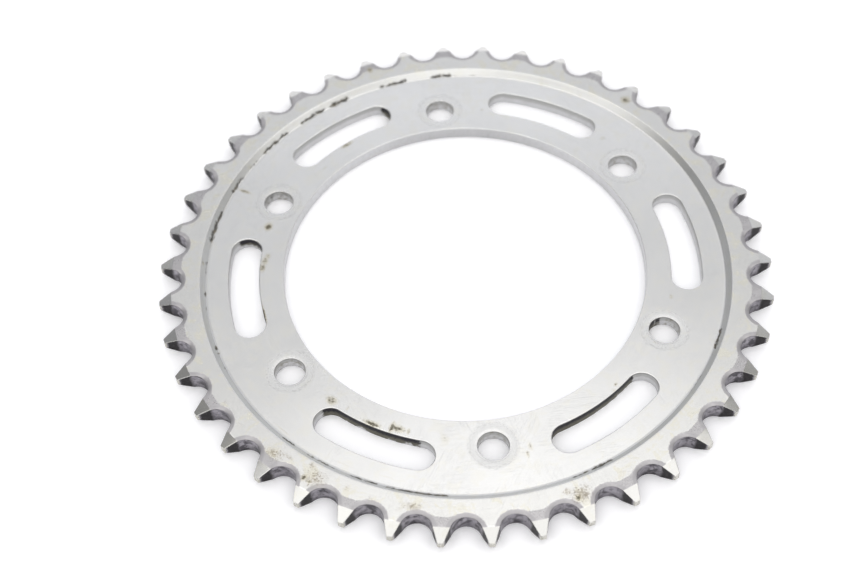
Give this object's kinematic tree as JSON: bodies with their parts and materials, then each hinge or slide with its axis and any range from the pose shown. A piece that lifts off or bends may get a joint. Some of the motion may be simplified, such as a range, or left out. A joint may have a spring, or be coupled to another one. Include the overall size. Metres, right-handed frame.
{
  "type": "rear sprocket",
  "caption": "Flat steel roller-chain sprocket: toothed rim, thinner recessed mounting plate, curved lightening slots, a bolt circle and a large pilot bore.",
  "frame": {"origin": "centre of the pilot bore, in the plane of the flat back face that seats on the wheel's sprocket carrier", "axes": "+Z along the wheel axis, out of the recessed outer face where the nuts sit; +Y through the centre of one bolt hole; +X through the middle of one slot"},
  "size_m": [0.2194, 0.2194, 0.0072],
  "materials": {
    "plated_steel": "satin light-grey plated steel, with dull rolled edges round the gaps, bright turned tooth bevels and dark roller wear in the gaps"
  },
  "bodies": {
    "root": {"rear_sprocket": "plated_steel"}
  },
  "joints": []
}
